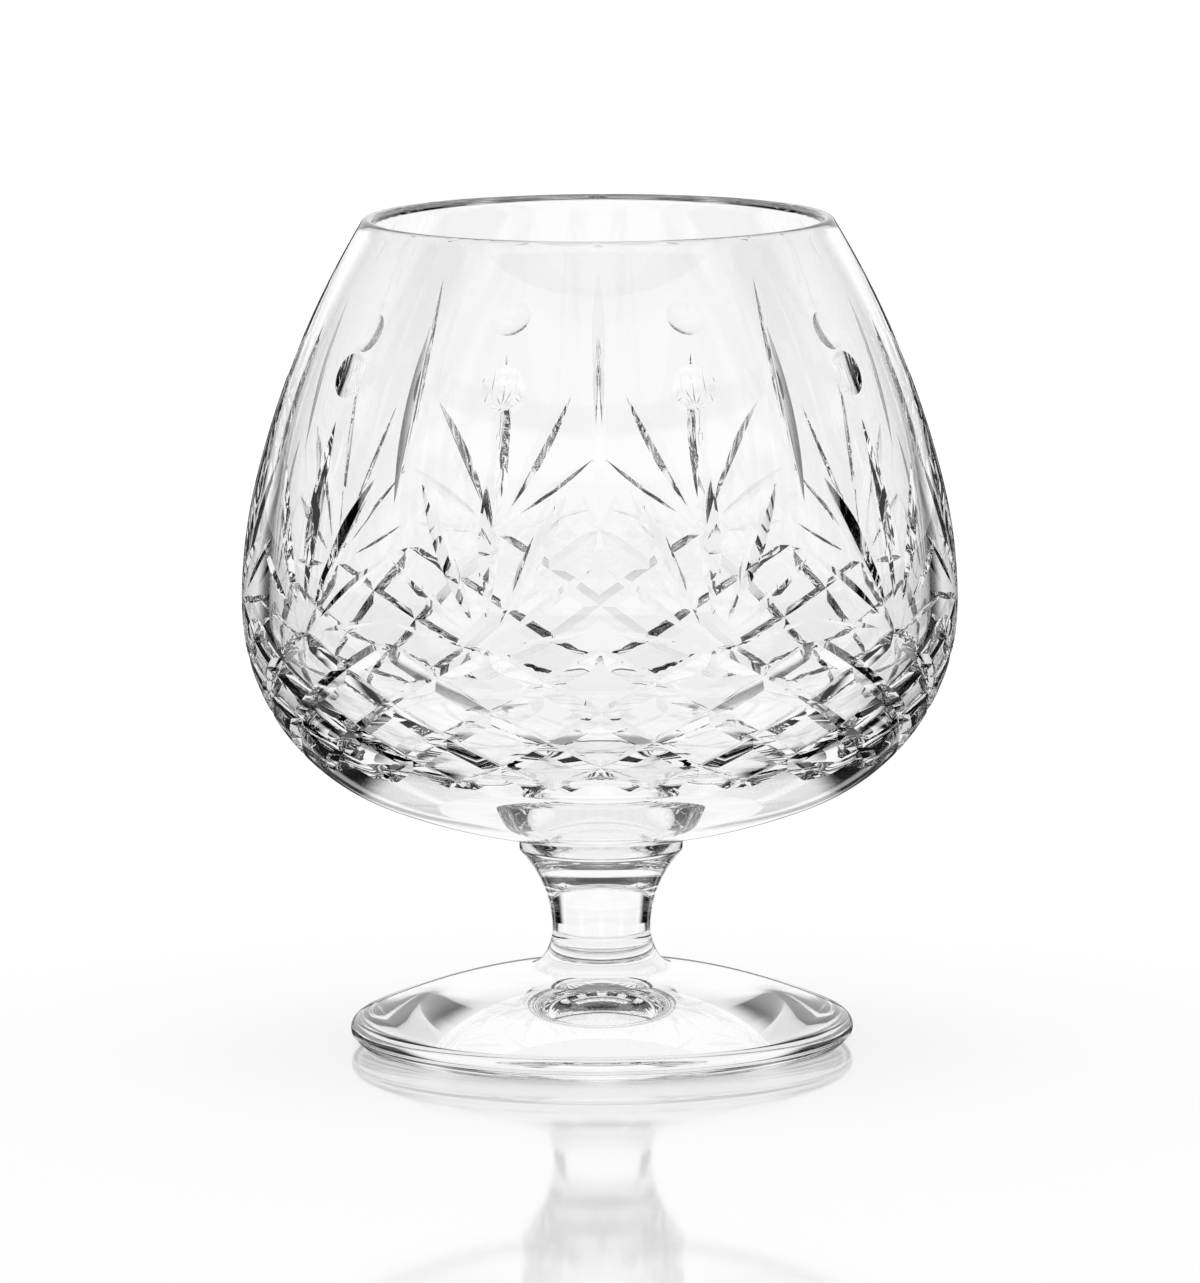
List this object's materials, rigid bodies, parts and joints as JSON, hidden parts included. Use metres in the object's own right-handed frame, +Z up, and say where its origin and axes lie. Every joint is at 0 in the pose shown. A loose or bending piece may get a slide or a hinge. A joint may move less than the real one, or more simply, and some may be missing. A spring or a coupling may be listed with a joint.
{
  "type": "brandy snifter",
  "caption": "Footed brandy snifter in clear cut crystal: a wide bowl that narrows to the rim, on a short waisted stem and a domed round foot.",
  "frame": {"origin": "on the table, at the middle of the standing ring under the foot", "axes": "+Z up along the axis of the glass, from the foot to the rim"},
  "size_m": [0.1076, 0.1076, 0.125],
  "materials": {
    "bowl_crystal": "clear lead crystal, mitre cut and polished",
    "stem_crystal": "clear lead crystal, fire polished",
    "foot_crystal": "clear lead crystal, fire polished, with a ground standing ring"
  },
  "bodies": {
    "root": {"bowl": "bowl_crystal", "stem": "stem_crystal", "foot": "foot_crystal"}
  },
  "joints": []
}
